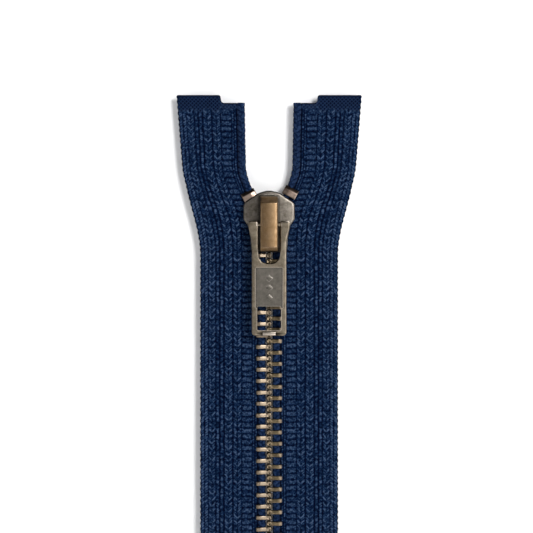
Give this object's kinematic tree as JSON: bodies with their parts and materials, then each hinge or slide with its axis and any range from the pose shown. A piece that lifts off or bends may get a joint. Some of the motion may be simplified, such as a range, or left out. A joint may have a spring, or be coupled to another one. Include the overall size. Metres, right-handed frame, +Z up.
{
  "type": "zipper",
  "caption": "Closed-end metal zipper with two woven tapes, interlocking metal teeth, stops and an auto-lock slider that opens the chain as it moves down.",
  "frame": {"origin": "middle of the overall width and thickness, level with the lower tape ends", "axes": "+Z up along the chain to the open tape ends, -Y out of the front face, +X to the right seen from the front"},
  "size_m": [0.0422, 0.0082, 0.1436],
  "materials": {
    "navy_tape": "woven navy tape with knit ribs, matt",
    "navy_cord": "navy wrapped cord, matt",
    "tooth_brass": "worn antique brass, satin",
    "stop_brass": "dark copper-brown antique brass, satin",
    "antique_brass": "antique brass, dark with rubbed bright edges",
    "cover_brass": "warm antique brass, brushed",
    "spring_steel": "plain spring steel"
  },
  "bodies": {
    "lower_stringers": {"left_lower_tape": "navy_tape", "right_lower_tape": "navy_tape", "left_lower_chain": "tooth_brass", "right_lower_chain": "tooth_brass", "bottom_stop": "stop_brass"},
    "slider": {"slider_body": "antique_brass", "slider_cover": "cover_brass", "leaf_spring": "spring_steel"},
    "pull": {"pull_tab": "antique_brass"},
    "lock_lever": {"lock_lever": "spring_steel"},
    "left_stringer": {"left_upper_tape": "navy_tape", "left_upper_chain": "tooth_brass"},
    "left_tape_end": {"left_tape_end": "navy_tape", "left_bead_end": "navy_cord"},
    "left_top_stop": {"left_top_stop": "stop_brass"},
    "right_stringer": {"right_upper_tape": "navy_tape", "right_upper_chain": "tooth_brass"},
    "right_tape_end": {"right_tape_end": "navy_tape", "right_bead_end": "navy_cord"},
    "right_top_stop": {"right_top_stop": "stop_brass"}
  },
  "joints": [
    {"name": "slider_travel", "type": "slide", "parent": "lower_stringers", "child": "slider", "axis": [0, 0, -1], "range_m": [0, 0.0832], "deforming": ["left_upper_tape", "left_upper_chain", "left_tape_end", "left_bead_end", "right_upper_tape", "right_upper_chain", "right_tape_end", "right_bead_end"]},
    {"name": "pull_swing", "type": "hinge", "parent": "slider", "child": "pull", "pos_m": [0, -0.002, 0.114], "axis": [-1, 0, 0], "range_deg": [0, 170]},
    {"name": "lock_lift", "type": "hinge", "parent": "slider", "child": "lock_lever", "pos_m": [0, -0.00255, 0.1184], "axis": [-1, 0, 0], "range_deg": [0, 2.4], "deforming": ["leaf_spring"]},
    {"name": "left_stringer_opening", "type": "hinge", "parent": "lower_stringers", "child": "left_stringer", "pos_m": [0, 0.0017, 0.017], "axis": [0, -1, 0], "range_deg": [0, 12]},
    {"name": "left_tape_end_straightening", "type": "slide", "parent": "left_stringer", "child": "left_tape_end", "axis": [1, 0, 0], "range_m": [0, 0.0045]},
    {"name": "left_top_stop_turn", "type": "hinge", "parent": "left_stringer", "child": "left_top_stop", "pos_m": [-0.00289, 0.0017, 0.11583], "axis": [0, 1, 0], "range_deg": [0, 28]},
    {"name": "right_stringer_opening", "type": "hinge", "parent": "lower_stringers", "child": "right_stringer", "pos_m": [0, 0.0017, 0.017], "axis": [0, 1, 0], "range_deg": [0, 12]},
    {"name": "right_tape_end_straightening", "type": "slide", "parent": "right_stringer", "child": "right_tape_end", "axis": [-1, 0, 0], "range_m": [0, 0.0045]},
    {"name": "right_top_stop_turn", "type": "hinge", "parent": "right_stringer", "child": "right_top_stop", "pos_m": [0.00305, 0.0017, 0.1159], "axis": [0, -1, 0], "range_deg": [0, 28]}
  ],
  "couplings": [
    {"joint": "lock_lift", "follows": "pull_swing", "ratio": 0.014118},
    {"joint": "left_stringer_opening", "follows": "slider_travel", "rad_per_m": 2.5173},
    {"joint": "left_tape_end_straightening", "follows": "slider_travel", "ratio": 0.054086},
    {"joint": "left_top_stop_turn", "follows": "slider_travel", "rad_per_m": 5.8737},
    {"joint": "right_stringer_opening", "follows": "slider_travel", "rad_per_m": 2.5173},
    {"joint": "right_tape_end_straightening", "follows": "slider_travel", "ratio": 0.054086},
    {"joint": "right_top_stop_turn", "follows": "slider_travel", "rad_per_m": 5.8737}
  ]
}
